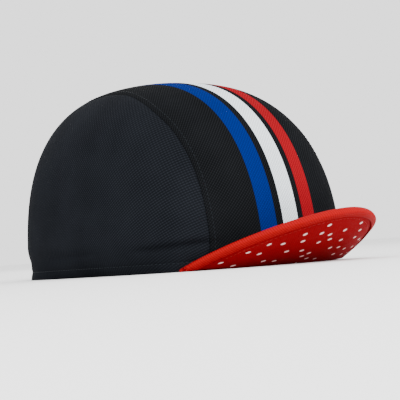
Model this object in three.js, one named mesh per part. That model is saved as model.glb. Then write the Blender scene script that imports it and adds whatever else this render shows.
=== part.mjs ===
// A cycling cap of thin knit cloth, resting on its rim: a striped centre panel, two side
// panels, a short peak turned up at the front, a sweatband and a stretch of elastic inside.
// Lengths are millimetres. The front is -Y, the wearer's left is +X and up is +Z.

import * as THREE from 'three';

// Crown, measured over the cloth
const crownWidth = 154;
const crownLength = 202;
const crownHeight = 114;
const frontShare = 0.516; // part of the length that lies ahead of the widest place
const frontFullness = 0.09; // how much wider than an oval the front is, as a share
const planExponent = 2.6; // 2 draws an ellipse, more a squarer outline
const profileAtFront = 2.35; // the same for the outline seen from beside, in front, at the
const profileAtSide = 2.86; // sides and behind
const profileAtBack = 2.63;

// The elastic rim draws the wall in: shares of the radius, fading out at the tuck's height
const tuckHeight = 20.5;
const tuckAtFront = 0.004;
const tuckAtSide = 0.15;
const tuckAtBack = 0.07;

// Behind each ear the rim keeps a soft corner, pulled out more on the wearer's right
const cornerAngle = 48; // degrees round the head from the back
const cornerSpread = 15; // degrees to each side over which it fades
const cornerHeight = 14;
const cornerAtLeft = 0.03; // shares of the radius
const cornerAtRight = 0.072;

// Cloth and the clearances between pieces
const clothThickness = 1.2;
const seamClearance = 0.35;
const layerClearance = 0.5;

// Centre panel: its width at the front, and its outline on the way over the top of the head
const centrePanelWidth = 104;
const centrePanelOutline = [
  { along: 0.0, width: 1.0 },
  { along: 0.15, width: 0.99 },
  { along: 0.28, width: 0.974 },
  { along: 0.35, width: 0.947 },
  { along: 0.4, width: 0.887 },
  { along: 0.46, width: 0.792 },
  { along: 0.52, width: 0.723 },
  { along: 0.62, width: 0.663 },
  { along: 0.72, width: 0.614 },
  { along: 0.82, width: 0.535 },
  { along: 0.9, width: 0.426 },
  { along: 0.945, width: 0.307 },
  { along: 1.0, width: 0.158 },
];

// Overlocked seam allowances, turned towards the centre panel on the inside
const allowanceWidth = 6.2;
const allowanceThickness = 0.8;
const allowanceEndHeight = 18.5;

// Sweatband and the elastic that replaces it at the back of the head
const bandHeight = 17;
const bandThickness = 1;
const elasticWidth = 64;
const elasticHeight = 16.2;
const elasticThickness = 1.3;

// Peak: two cloths in a folded binding, springing forwards from the rim and curling up
const peakLength = 53.6;
const peakHalfAngle = 37.2; // degrees round the head from the middle to each end
const peakFanShare = -0.25; // how far its ribs close in, as a share of the angle of their roots
const peakRise = 29.6; // degrees above level, halfway along each rib
const peakCurl = 25; // degrees through which the longest rib curls upwards
const peakOutlineInner = 1.9; // exponents of the outline between the middle and the ends
const peakOutlineOuter = 0.72;
const peakClothThickness = 1;
const peakClearance = 0.3;
const bindingWidth = 4.3;
const bindingThickness = 0.6;
const bindingEndWidth = 2.2;

// Fineness of the facets
const stationsAlong = 42;
const stationsAcross = 14;
const rowsUpSide = 11;
const stationsRoundBand = 78;
const rowsUpBand = 4;
const stationsRoundPeak = 32;
const rowsAlongPeak = 7;

const crownHalfWidth = crownWidth / 2;
const frontReach = crownLength * frontShare;
const backReach = crownLength - frontReach;
const halfTurn = Math.PI;

function mix(from, to, share) {
  return from + (to - from) * share;
}

// The share at which a rising function reaches a wanted value, found by halving
function solve(rising, wanted, low, high) {
  for (let step = 0; step < 40; step += 1) {
    const middle = (low + high) / 2;
    if (rising(middle) < wanted) low = middle;
    else high = middle;
  }
  return (low + high) / 2;
}

// A smooth curve through one column of a table whose rows are ordered by "along"
function readTable(table, column, along) {
  const last = table.length - 1;
  const slope = (row) => {
    const before = table[Math.max(row - 1, 0)];
    const after = table[Math.min(row + 1, last)];
    return (after[column] - before[column]) / (after.along - before.along);
  };
  let row = 0;
  while (row < last - 1 && along > table[row + 1].along) row += 1;
  const span = table[row + 1].along - table[row].along;
  const t = (along - table[row].along) / span;
  const rise = t * t * (3 - 2 * t);
  const bend = t * (1 - t) * span;
  const ends = mix(table[row][column], table[row + 1][column], rise);
  return ends + bend * ((1 - t) * slope(row) - t * slope(row + 1));
}

// A value that changes round the head, from its front (1) by its sides (0) to its back (-1)
function roundTheHead(facing, atFront, atSide, atBack) {
  return mix(atSide, facing > 0 ? atFront : atBack, facing * facing);
}

// Where a ray from the middle of the rim leaves the crown, or a layer lying "inset" inside it
function crownPoint(ray, inset) {
  const reach = (ray.y < 0 ? frontReach : backReach) - inset;
  const acrossPart = Math.abs(ray.x) / (crownHalfWidth - inset);
  const alongPart = Math.abs(ray.y) / reach;
  const upPart = Math.abs(ray.z) / (crownHeight - inset);
  const level = (acrossPart ** planExponent + alongPart ** planExponent) ** (1 / planExponent);
  const heading = -ray.y / (Math.hypot(ray.x, ray.y) || 1);
  const profile = roundTheHead(heading, profileAtFront, profileAtSide, profileAtBack);
  const distance = (level ** profile + upPart ** profile) ** (-1 / profile);
  const point = ray.clone().multiplyScalar(distance);
  point.x *= 1 - (frontFullness * 2 * point.y) / crownLength;

  const tuck = roundTheHead(heading, tuckAtFront, tuckAtSide, tuckAtBack);
  const turned = THREE.MathUtils.radToDeg(Math.atan2(Math.abs(ray.x), ray.y));
  const nearCorner = Math.exp(-(((turned - cornerAngle) / cornerSpread) ** 2));
  const corner = (ray.x < 0 ? cornerAtRight : cornerAtLeft) * nearCorner;
  const drawnIn =
    1 -
    tuck * Math.max(1 - point.z / tuckHeight, 0) ** 2 +
    corner * Math.max(1 - point.z / cornerHeight, 0) ** 2;
  point.x *= drawnIn;
  point.y *= drawnIn;
  return point;
}

// A ray that climbs over the head from the front (0) to the back (half a turn), leaning sideways
function rayOver(climb, lean) {
  return new THREE.Vector3(
    Math.sin(lean),
    -Math.cos(lean) * Math.cos(climb),
    Math.cos(lean) * Math.sin(climb)
  );
}

// A ray at an angle round the head from the front, raised above level
function rayRound(angle, rise) {
  return new THREE.Vector3(
    Math.sin(angle) * Math.cos(rise),
    -Math.cos(angle) * Math.cos(rise),
    Math.sin(rise)
  );
}

// The crown's wall at an angle round the head and at a height above the rim
function wallPoint(angle, height, inset) {
  const rise = solve((r) => crownPoint(rayRound(angle, r), inset).z, height, 0, halfTurn / 4);
  return crownPoint(rayRound(angle, height === 0 ? 0 : rise), inset);
}

// Facets lie closer together at both ends, where the rim's tuck bends the cloth
function climbAt(share) {
  const crowding = 0.5;
  return halfTurn * (share - (crowding * Math.sin(2 * halfTurn * share)) / (2 * halfTurn));
}

// The lean of the ray that meets the crown "beside" millimetres from the middle line
function leanAt(climb, beside) {
  return solve((lean) => crownPoint(rayOver(climb, lean), 0).x, beside, 0, halfTurn / 2);
}

function seamBeside(climb) {
  return (centrePanelWidth / 2) * readTable(centrePanelOutline, 'width', climb / halfTurn);
}

// A closed solid from its triangles' corners; pinched triangles drop out and all face outwards
function solidFrom(triangles) {
  const corners = [];
  const numbers = new Map();
  const numberOf = (point) => {
    const key = [point.x, point.y, point.z].map((v) => Math.round(v * 1e4)).join();
    if (!numbers.has(key)) {
      numbers.set(key, corners.length);
      corners.push(point);
    }
    return numbers.get(key);
  };
  let volume = 0;
  const faces = [];
  for (const triangle of triangles) {
    const face = triangle.map(numberOf);
    if (new Set(face).size < 3) continue;
    const [a, b, c] = face.map((number) => corners[number]);
    volume += a.dot(b.clone().cross(c)) / 6;
    faces.push(face);
  }
  const index = faces.flatMap(([a, b, c]) => (volume > 0 ? [a, b, c] : [a, c, b]));
  const geometry = new THREE.BufferGeometry();
  const positions = new Float32Array(corners.flatMap((point) => point.toArray()));
  geometry.setAttribute('position', new THREE.BufferAttribute(positions, 3));
  geometry.setIndex(index);
  geometry.computeVertexNormals();
  return geometry;
}

// Cloth between an outer and an inner grid of points, with its four edges closed
function clothSolid(outer, inner) {
  const triangles = [];
  const quad = (a, b, c, d) => triangles.push([a, b, c], [a, c, d]);
  const rows = outer.length - 1;
  const columns = outer[0].length - 1;
  for (let i = 0; i < rows; i += 1) {
    for (let j = 0; j < columns; j += 1) {
      quad(outer[i][j], outer[i + 1][j], outer[i + 1][j + 1], outer[i][j + 1]);
      quad(inner[i][j], inner[i][j + 1], inner[i + 1][j + 1], inner[i + 1][j]);
    }
    quad(outer[i][0], inner[i][0], inner[i + 1][0], outer[i + 1][0]);
    quad(outer[i][columns], outer[i + 1][columns], inner[i + 1][columns], inner[i][columns]);
  }
  for (let j = 0; j < columns; j += 1) {
    quad(outer[0][j], outer[0][j + 1], inner[0][j + 1], inner[0][j]);
    quad(outer[rows][j], inner[rows][j], inner[rows][j + 1], outer[rows][j + 1]);
  }
  return solidFrom(triangles);
}

// A solid that joins like outlines along a path, closed at both ends
function sweptSolid(outlines, flatOutline) {
  const triangles = [];
  const count = flatOutline.length;
  for (let i = 0; i < outlines.length - 1; i += 1) {
    for (let j = 0; j < count; j += 1) {
      const next = (j + 1) % count;
      const [a, b] = [outlines[i][j], outlines[i][next]];
      const [c, d] = [outlines[i + 1][next], outlines[i + 1][j]];
      triangles.push([a, b, c], [a, c, d]);
    }
  }
  const first = outlines[0];
  const last = outlines[outlines.length - 1];
  for (const [a, b, c] of THREE.ShapeUtils.triangulateShape(flatOutline, [])) {
    triangles.push([first[a], first[c], first[b]], [last[a], last[b], last[c]]);
  }
  return solidFrom(triangles);
}

function piece(name, geometry, colour, roughness) {
  const material = new THREE.MeshStandardMaterial({ color: colour, roughness, metalness: 0 });
  const mesh = new THREE.Mesh(geometry, material);
  mesh.name = name;
  return mesh;
}

// Rows 0 to count of anything made from a share between 0 and 1
function spread(count, make) {
  return Array.from({ length: count + 1 }, (_, number) => make(number / count));
}

function centrePanel() {
  const layer = (inset) =>
    spread(stationsAlong, (along) => {
      const climb = climbAt(along);
      const edge = leanAt(climb, seamBeside(climb) - seamClearance / 2);
      return spread(stationsAcross, (share) =>
        crownPoint(rayOver(climb, mix(-edge, edge, share)), inset)
      );
    });
  return clothSolid(layer(0), layer(clothThickness));
}

// One side panel: a lens between the rim and the seam, on the +X side (1) or the -X side (-1)
function sidePanel(side) {
  const edgeRay = (climb) => rayOver(climb, leanAt(climb, seamBeside(climb) + seamClearance / 2));
  const frontRay = edgeRay(0);
  const backRay = edgeRay(halfTurn);
  const frontAngle = Math.atan2(frontRay.x, -frontRay.y);
  const backAngle = Math.atan2(backRay.x, -backRay.y);
  const crowding = 1.5;
  const layer = (inset) =>
    spread(stationsAlong, (along) => {
      const foot = rayRound(mix(frontAngle, backAngle, along), 0);
      const top = edgeRay(climbAt(along));
      const turn = foot.angleTo(top);
      return spread(rowsUpSide, (share) => {
        const up = share ** crowding;
        const ray = foot.clone();
        if (turn > 1e-6) {
          ray.multiplyScalar(Math.sin((1 - up) * turn));
          ray.addScaledVector(top, Math.sin(up * turn)).normalize();
        }
        ray.x *= side;
        return crownPoint(ray, inset);
      });
    });
  return clothSolid(layer(0), layer(clothThickness));
}

// The overlocked edge that lies on the inside of the centre panel, along one seam. It keeps to
// the panel's own stations, so that its facets lie along the panel's
function seamAllowance(side) {
  const depth = clothThickness + layerClearance;
  const pointAt = (climb, inwards, inset) => {
    const lean = leanAt(climb, seamBeside(climb) - seamClearance - inwards);
    return crownPoint(rayOver(climb, side * lean), inset);
  };
  const climbs = spread(stationsAlong, climbAt).filter(
    (climb) => pointAt(climb, 0, depth).z > allowanceEndHeight
  );
  const layer = (inset) =>
    climbs.map((climb) => spread(1, (share) => pointAt(climb, allowanceWidth * share, inset)));
  return clothSolid(layer(depth), layer(depth + allowanceThickness));
}

// A band inside the rim, between two angles round the head
function innerBand(fromAngle, toAngle, stations, height, thickness) {
  const depth = clothThickness + layerClearance;
  const layer = (inset) =>
    spread(stations, (round) =>
      spread(rowsUpBand, (up) => wallPoint(mix(fromAngle, toAngle, round), height * up, inset))
    );
  return clothSolid(layer(depth), layer(depth + thickness));
}

// The angle round the head at which the elastic's joints stand, "beside" from the middle line
function angleAtBack(beside) {
  const insetOfBand = clothThickness + layerClearance;
  const quarter = halfTurn / 2;
  const turn = solve((t) => wallPoint(halfTurn - t, 0, insetOfBand).x, beside, 0, quarter);
  return halfTurn - turn;
}

function sweatband() {
  const end = angleAtBack((elasticWidth + seamClearance) / 2);
  return innerBand(-end, end, stationsRoundBand, bandHeight, bandThickness);
}

function backElastic() {
  const end = angleAtBack((elasticWidth - seamClearance) / 2);
  const stations = Math.round((stationsRoundBand * (halfTurn - end)) / end);
  return innerBand(end, 2 * halfTurn - end, stations + 2, elasticHeight, elasticThickness);
}

// The peak's outward face is its underside, which starts this high so that the binding clears
// the plane of the rim; its two cloths lie above it
const peakFootHeight = bindingThickness + 1.5 * peakClearance;
const peakThickness = 2 * peakClothThickness + peakClearance;

// A rib of the peak: points from the root to the free edge at an angle round the head
function peakRib(across) {
  const angle = THREE.MathUtils.degToRad(peakHalfAngle) * across;
  const outline = (1 - Math.abs(across) ** peakOutlineInner) ** peakOutlineOuter;
  const riseAt = (outward) =>
    THREE.MathUtils.degToRad(peakRise + peakCurl * outline * (outward - 0.5));

  const heights = [0, 2 * peakFootHeight + peakThickness];
  const [low, high] = heights.map((height) => wallPoint(angle, height, 0).setZ(0));
  const root = low.length() > high.length() ? low : high;
  const outwards = new THREE.Vector3(Math.sin(angle), -Math.cos(angle), 0);
  const lean = (peakThickness + peakFootHeight) * Math.sin(riseAt(0));
  root.addScaledVector(outwards, lean + 3 * peakClearance);
  root.z = peakFootHeight;

  const heading = angle * peakFanShare;
  const forwards = new THREE.Vector3(Math.sin(heading), -Math.cos(heading), 0);
  const up = new THREE.Vector3(0, 0, 1);
  const points = [root];
  const steps = 24;
  for (let step = 0; step < steps; step += 1) {
    const rise = riseAt((step + 0.5) / steps);
    const stride = forwards.clone().multiplyScalar(Math.cos(rise));
    stride.addScaledVector(up, Math.sin(rise)).multiplyScalar((peakLength * outline) / steps);
    points.push(points[step].clone().add(stride));
  }
  return points;
}

function peakPoint(across, outward) {
  const rib = peakRib(across);
  const place = outward * (rib.length - 1);
  const before = THREE.MathUtils.clamp(Math.floor(place), 0, rib.length - 2);
  return rib[before].clone().lerp(rib[before + 1], place - before);
}

// The peak's surface at a place: how it changes across and outward, and its upward normal
function peakSlopes(place) {
  const small = 0.005;
  const { across, outward } = place;
  const far = Math.min(outward + small, 1);
  const near = Math.max(outward - small, 0);
  const perAcross = peakPoint(across + small, outward).sub(peakPoint(across - small, outward));
  const perOutward = peakPoint(across, far).sub(peakPoint(across, near));
  perAcross.divideScalar(2 * small);
  perOutward.divideScalar(far - near);
  return { perAcross, perOutward, normal: perOutward.clone().cross(perAcross).normalize() };
}

// A point "height" above the underside at a place of the peak
function peakLayerPoint(place, height) {
  const point = peakPoint(place.across, place.outward);
  return point.addScaledVector(peakSlopes(place).normal, height);
}

// The place "distance" in from the free edge, reached by short steps square to the edge
function placeInside(across, distance) {
  const place = { across, outward: 1 };
  const edge = peakSlopes(place);
  const inwards = edge.normal.clone().cross(edge.perAcross).normalize();
  const steps = Math.ceil(distance / 0.4);
  for (let step = 0; step < steps; step += 1) {
    const { perAcross, perOutward } = peakSlopes(place);
    const [aa, ab, bb] = [perAcross.lengthSq(), perAcross.dot(perOutward), perOutward.lengthSq()];
    const [ai, bi] = [perAcross.dot(inwards), perOutward.dot(inwards)];
    const stride = distance / steps / (aa * bb - ab * ab);
    place.across += (ai * bb - bi * ab) * stride;
    place.outward += (bi * aa - ai * ab) * stride;
  }
  return place;
}

// How wide the peak is at a place on its edge, from there to the nearest part of its root
function peakWidthAt(across) {
  const edge = peakPoint(across, 1);
  const roots = spread(60, (share) => peakPoint(mix(-1, 1, share), 0));
  return Math.min(...roots.map((root) => root.distanceTo(edge)));
}

const peakEnd = solve((across) => -peakWidthAt(across), -bindingEndWidth - peakClearance, 0.5, 0.99);

// Shares across the peak, closer together towards its ends, where the outline turns
function acrossPeak(share) {
  return peakEnd * Math.sin((share - 0.5) * halfTurn * 0.9) / Math.sin(halfTurn * 0.45);
}

// One cloth of the peak, "lift" above the underside's face and set back inside the binding
function peakCloth(lift) {
  const rowCrowding = 1.6; // the rows lie closer together under the binding
  const layer = (height) =>
    spread(stationsRoundPeak, (share) => {
      const root = { across: acrossPeak(share), outward: 0 };
      const end = placeInside(root.across, bindingThickness + peakClearance);
      return spread(rowsAlongPeak, (row) => {
        const outward = 1 - (1 - row) ** rowCrowding;
        const place = {
          across: mix(root.across, end.across, outward),
          outward: mix(root.outward, end.outward, outward),
        };
        return peakLayerPoint(place, height);
      });
    });
  return clothSolid(layer(lift), layer(lift + peakClothThickness));
}

// The binding is a tape folded round the edges of both cloths
function peakBinding() {
  const reach = bindingThickness + peakClearance;
  const outlineFor = (width) => [
    new THREE.Vector2(width, -reach),
    new THREE.Vector2(width, -peakClearance),
    new THREE.Vector2(bindingThickness, -peakClearance),
    new THREE.Vector2(bindingThickness, peakThickness + peakClearance),
    new THREE.Vector2(width, peakThickness + peakClearance),
    new THREE.Vector2(width, peakThickness + reach),
    new THREE.Vector2(reach, peakThickness + reach),
    new THREE.Vector2(0, peakThickness),
    new THREE.Vector2(0, 0),
    new THREE.Vector2(reach, -reach),
  ];
  const outlines = spread(stationsRoundPeak, (share) => {
    const across = acrossPeak(share);
    const width = Math.min(bindingWidth, peakWidthAt(across) - peakClearance);
    return outlineFor(width).map((corner) =>
      peakLayerPoint(placeInside(across, corner.x), corner.y)
    );
  });
  return sweptSolid(outlines, outlineFor(bindingWidth));
}

const cap = new THREE.Group();
cap.add(
  piece('center_panel', centrePanel(), 0x1c1d20, 0.9),
  piece('left_side_panel', sidePanel(1), 0x202430, 0.9),
  piece('right_side_panel', sidePanel(-1), 0x202430, 0.9),
  piece('left_seam_allowance', seamAllowance(1), 0xd8dde0, 0.95),
  piece('right_seam_allowance', seamAllowance(-1), 0xd8dde0, 0.95),
  piece('sweatband', sweatband(), 0xd8deee, 0.9),
  piece('back_elastic', backElastic(), 0xd2d8e0, 0.85),
  piece('peak_under_cloth', peakCloth(0), 0xa5161a, 0.8),
  piece('peak_top_cloth', peakCloth(peakClothThickness + peakClearance), 0x1c1d20, 0.9),
  piece('peak_binding', peakBinding(), 0xe8404a, 0.75)
);

// The origin is under the middle of the whole cap, in the plane of its rim
const box = new THREE.Box3().setFromObject(cap);
cap.position.y = -(box.min.y + box.max.y) / 2;

export default cap;
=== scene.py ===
# A cycling cap of thin mesh knit, standing on its rim: a striped centre panel between two side
# panels, a dotted peak turned up at the front, and a sweatband with elastic at the back inside.
# Metres, in the model's frame: the front is -Y, the wearer's left is +X and up is +Z.

import math

import bpy
import numpy as np
from mathutils import Matrix, Vector


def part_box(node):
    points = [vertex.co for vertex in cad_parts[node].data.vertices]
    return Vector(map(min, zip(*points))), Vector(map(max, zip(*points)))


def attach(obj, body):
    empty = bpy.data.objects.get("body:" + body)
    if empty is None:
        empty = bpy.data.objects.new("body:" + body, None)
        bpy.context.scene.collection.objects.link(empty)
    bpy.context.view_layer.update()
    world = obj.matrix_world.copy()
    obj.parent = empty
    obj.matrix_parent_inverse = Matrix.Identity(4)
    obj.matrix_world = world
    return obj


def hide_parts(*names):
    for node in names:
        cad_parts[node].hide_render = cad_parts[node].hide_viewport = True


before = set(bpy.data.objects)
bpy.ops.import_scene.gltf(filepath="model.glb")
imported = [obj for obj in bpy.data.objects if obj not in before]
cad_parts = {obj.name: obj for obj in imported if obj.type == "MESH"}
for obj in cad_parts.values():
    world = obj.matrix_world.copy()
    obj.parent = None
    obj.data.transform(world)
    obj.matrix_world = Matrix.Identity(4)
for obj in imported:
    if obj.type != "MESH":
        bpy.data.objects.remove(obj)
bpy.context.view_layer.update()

# The crown's form. The real crown is knit cloth sewn to shape and drawn in at the rim; its
# outline is worked out here once, and every panel and band of the cap lies on it or inside it.

MM = 0.001
CROWN_WIDTH = 154 * MM
CROWN_LENGTH = 202 * MM
CROWN_HEIGHT = 114 * MM
FRONT_REACH = 0.516 * CROWN_LENGTH
BACK_REACH = CROWN_LENGTH - FRONT_REACH
FRONT_FULLNESS = 0.09
PLAN_EXPONENT = 2.6
PROFILE = {"front": 2.35, "side": 2.86, "back": 2.63}
TUCK = {"front": 0.004, "side": 0.15, "back": 0.07}
TUCK_HEIGHT = 20.5 * MM
CORNER_ANGLE = math.radians(48)
CORNER_SPREAD = math.radians(15)
CORNER_HEIGHT = 14 * MM
CORNER = {"left": 0.03, "right": 0.072}
CREASE_ANGLE = math.radians(35)
CREASE_SPREAD = math.radians(8)
CREASE_HEIGHT = 12 * MM
CREASE = 0.052
CLOTH = 1.2 * MM
EDGE_BULGE = 0.35  # of a cloth's thickness, how far its rounded edge stands out
SEAM_GAP = 0.35 * MM
LAYER_GAP = 0.5 * MM


def round_the_head(facing, amounts):
    ends = np.where(facing > 0, amounts["front"], amounts["back"])
    return amounts["side"] + (ends - amounts["side"]) * facing**2


def crown_point(rays, inset=0.0):
    """Where rays from the middle of the rim leave the crown, or a layer that far inside it."""
    rays = np.asarray(rays, float)
    x, y, z = np.moveaxis(rays, -1, 0)
    reach = np.where(y < 0, FRONT_REACH, BACK_REACH) - inset
    across = np.abs(x) / (CROWN_WIDTH / 2 - inset)
    level = (across**PLAN_EXPONENT + (np.abs(y) / reach) ** PLAN_EXPONENT) ** (1 / PLAN_EXPONENT)
    facing = -y / np.maximum(np.hypot(x, y), 1e-9)
    profile = round_the_head(facing, PROFILE)
    up = np.abs(z) / (CROWN_HEIGHT - inset)
    distance = (level**profile + up**profile) ** (-1 / profile)
    x, y, z = x * distance, y * distance, z * distance
    x = x * (1 - FRONT_FULLNESS * 2 * y / CROWN_LENGTH)
    tuck = round_the_head(facing, TUCK) * np.maximum(1 - z / TUCK_HEIGHT, 0) ** 2
    turned = np.arctan2(np.abs(rays[..., 0]), rays[..., 1])
    corner = np.where(rays[..., 0] < 0, CORNER["right"], CORNER["left"])
    corner = corner * np.exp(-(((turned - CORNER_ANGLE) / CORNER_SPREAD) ** 2))
    drawn_in = 1 - tuck + corner * np.maximum(1 - z / CORNER_HEIGHT, 0) ** 2
    turned = np.arctan2(-rays[..., 0], rays[..., 1])
    crease = CREASE * np.exp(-np.abs((turned - CREASE_ANGLE) / CREASE_SPREAD) ** 1.3)
    drawn_in = drawn_in + crease * np.maximum(1 - z / CREASE_HEIGHT, 0) ** 1.5
    return np.stack([x * drawn_in, y * drawn_in, z], -1)


def ray_over(climb, lean):
    """A ray that climbs over the head from the front (0) to the back (pi), leaning sideways."""
    climb, lean = np.broadcast_arrays(climb, lean)
    level = np.cos(lean)
    return np.stack([np.sin(lean), -level * np.cos(climb), level * np.sin(climb)], -1)


def ray_round(angle, rise):
    """A ray at an angle round the head from the front, raised above level."""
    angle, rise = np.broadcast_arrays(angle, rise)
    level = np.cos(rise)
    return np.stack([np.sin(angle) * level, -np.cos(angle) * level, np.sin(rise)], -1)


def halving(rising, wanted, low, high):
    """Where a rising function reaches the wanted values."""
    low = np.full(np.shape(wanted), float(low))
    high = np.full(np.shape(wanted), float(high))
    for _ in range(36):
        middle = (low + high) / 2
        under = rising(middle) < wanted
        low = np.where(under, middle, low)
        high = np.where(under, high, middle)
    return (low + high) / 2


def wall_point(angle, height, inset=0.0):
    """The crown's wall at angles round the head and heights above the rim."""
    angle, height = np.broadcast_arrays(angle, height)
    rise = halving(lambda r: crown_point(ray_round(angle, r), inset)[..., 2], height, 0, 0.8)
    return crown_point(ray_round(angle, np.where(height <= 0, 0, rise)), inset)


# The frame's centre panel says where the middle of the rim stands along Y
_over = crown_point(ray_over(np.linspace(math.pi / 2, math.pi, 400), 0.0))
RIM_MIDDLE = np.array([0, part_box("center_panel")[1].y - _over[:, 1].max(), 0])


def unit(vectors):
    return vectors / np.maximum(np.linalg.norm(vectors, axis=-1, keepdims=True), 1e-12)


def grid_normals(points):
    """The normals of a grid of points, pointing away from the middle of the crown."""
    normals = unit(np.cross(np.gradient(points, axis=0), np.gradient(points, axis=1)))
    middle = np.array([0, 0, CROWN_HEIGHT / 4])
    turned = np.sum(normals * (points - middle), -1).sum() < 0
    return -normals if turned else normals


def arc_lengths(points, axis):
    steps = np.linalg.norm(np.diff(points, axis=axis), axis=-1)
    return np.concatenate([np.zeros_like(np.take(steps, [0], axis)), np.cumsum(steps, axis)], axis)


def plain_mesh(name, points, faces, maps=None, values=None):
    """A mesh object whose doubled points are merged, with a UV map and named point values."""
    keys = np.round(points * 1e7).astype(np.int64)
    _, first, where = np.unique(keys, axis=0, return_index=True, return_inverse=True)
    where = where.reshape(-1)
    kept = []
    for face in faces:
        corners = list(dict.fromkeys(where[list(face)].tolist()))
        if len(corners) > 2:
            kept.append(corners)
    points = points[first]
    mesh = bpy.data.meshes.new(name)
    mesh.from_pydata(points.tolist(), [], kept)
    mesh.update()
    if maps is not None:
        corner_points = np.zeros(len(mesh.loops), np.int32)
        mesh.loops.foreach_get("vertex_index", corner_points)
        layer = mesh.uv_layers.new(name="cloth")
        layer.data.foreach_set("uv", maps[first][corner_points].astype(np.float32).ravel())
    for title, numbers in (values or {}).items():
        attribute = mesh.attributes.new(title, "FLOAT", "POINT")
        attribute.data.foreach_set("value", numbers[first].astype(np.float32))
    mesh.shade_smooth()
    mesh.validate()
    piece = bpy.data.objects.new(name, mesh)
    bpy.context.scene.collection.objects.link(piece)
    return piece


def inside_out(points, faces):
    """Whether the faces of a closed wall point into it, from the sign of its volume."""
    corners = points[np.array([face[:3] for face in faces])]
    return np.sum(corners[:, 0] * np.cross(corners[:, 1], corners[:, 2])) < 0


def cloth_piece(name, outer, inner, maps, values=None):
    """A closed wall of cloth between two grids of points, with rounded edges."""
    rows, columns = outer.shape[:2]
    count = rows * columns
    index = np.arange(count).reshape(rows, columns)
    a, b = index[:-1, :-1].ravel(), index[1:, :-1].ravel()
    c, d = index[1:, 1:].ravel(), index[:-1, 1:].ravel()
    faces = list(zip(a, b, c, d)) + list(zip(a + count, d + count, c + count, b + count))
    loop = np.concatenate([index[0], index[1:, -1], index[-1, -2::-1], index[-2:0:-1, 0]])
    rows_in = np.concatenate([index[1], index[1:, -2], index[-2, -2::-1], index[-2:0:-1, 1]])
    flat_outer, flat_inner = outer.reshape(-1, 3), inner.reshape(-1, 3)
    away = unit(flat_outer[loop] - flat_outer[rows_in])
    thickness = np.linalg.norm(flat_outer[loop] - flat_inner[loop], axis=1, keepdims=True)
    edge = (flat_outer[loop] + flat_inner[loop]) / 2 + away * thickness * EDGE_BULGE
    edge[:, 2] = np.maximum(edge[:, 2], 0)
    rim = 2 * count + np.arange(len(loop))
    after = np.roll(np.arange(len(loop)), -1)
    faces += list(zip(loop, loop[after], rim[after], rim))
    faces += list(zip(rim, rim[after], loop[after] + count, loop + count))
    points = np.concatenate([flat_outer, flat_inner, edge])
    if inside_out(points, faces):
        faces = [f[::-1] for f in faces]
    flat_maps = maps.reshape(-1, 2)
    maps_all = np.concatenate([flat_maps, flat_maps, flat_maps[loop]])
    inside = np.concatenate([np.zeros(count), np.ones(count), np.full(len(loop), 0.5)])
    numbers = {"inside": inside}
    for title, grid in (values or {}).items():
        flat = grid.ravel()
        numbers[title] = np.concatenate([flat, flat, flat[loop]])
    return plain_mesh(name, points + RIM_MIDDLE, faces, maps_all, numbers)


def place(piece, node):
    """The piece rides on the cap's one body and stands for the CAD node of that name."""
    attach(piece, "root")
    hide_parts(node)


# Centre panel. One piece of black mesh knit runs from the forehead over the top to the nape,
# wide in front and narrow behind, with a blue, a white and a red stripe dyed into the cloth.

CENTRE_WIDTH = 104 * MM
# Share of the way over the head, and the panel's width there as a share of its front width
CENTRE_OUTLINE = [
    (0.0, 1.0), (0.15, 0.99), (0.28, 0.974), (0.35, 0.947), (0.4, 0.887), (0.46, 0.792),
    (0.52, 0.723), (0.62, 0.663), (0.72, 0.614), (0.82, 0.535), (0.9, 0.426), (0.945, 0.307),
    (1.0, 0.158),
]
STRIPES = {  # right and left edge, and colour
    "blue": (-23.2 * MM, -11.3 * MM, (0.001, 0.0125, 0.125)),
    "white": (-6.2 * MM, 5.9 * MM, (0.72, 0.77, 0.83)),
    "red": (10.3 * MM, 20.6 * MM, (0.24, 0.004, 0.009)),
}
BLACK_KNIT = (0.0013, 0.0014, 0.0016)
UNDYED_KNIT = (0.72, 0.81, 0.95)
KNIT_PITCH = 1.45 * MM
# How many times paler the knit's raised loops are painted than its holes: a painted highlight on
# the loops
LOOP_HIGHLIGHT = 9
PEAK_HALF_ANGLE = math.radians(37.2)
PEAK_ROOT_LIFT = 1.1 * MM
PEAK_ROOT_LIFT_HEIGHT = 9 * MM
CROWDING = 0.5


def outline_share(share):
    """The centre panel's outline as a smooth curve through its table."""
    along, width = np.array(CENTRE_OUTLINE).T
    slopes = np.gradient(width, along)
    slopes[0] = (width[1] - width[0]) / (along[1] - along[0])
    row = np.clip(np.searchsorted(along, share, side="right") - 1, 0, len(along) - 2)
    span = along[row + 1] - along[row]
    t = (share - along[row]) / span
    rise = t * t * (3 - 2 * t)
    ends = width[row] + (width[row + 1] - width[row]) * rise
    return ends + t * (1 - t) * span * ((1 - t) * slopes[row] - t * slopes[row + 1])


def seam_beside(climb):
    return CENTRE_WIDTH / 2 * outline_share(np.asarray(climb) / math.pi)


def lean_at(climb, beside):
    climb, beside = np.broadcast_arrays(climb, beside)
    return halving(lambda lean: crown_point(ray_over(climb, lean))[..., 0], beside, 0, math.pi / 2)


def climbs(count):
    """Climbs over the head from front to back, closer together at both ends."""
    share = np.linspace(0, 1, count)
    return math.pi * (share - CROWDING * np.sin(2 * math.pi * share) / (2 * math.pi))


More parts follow.
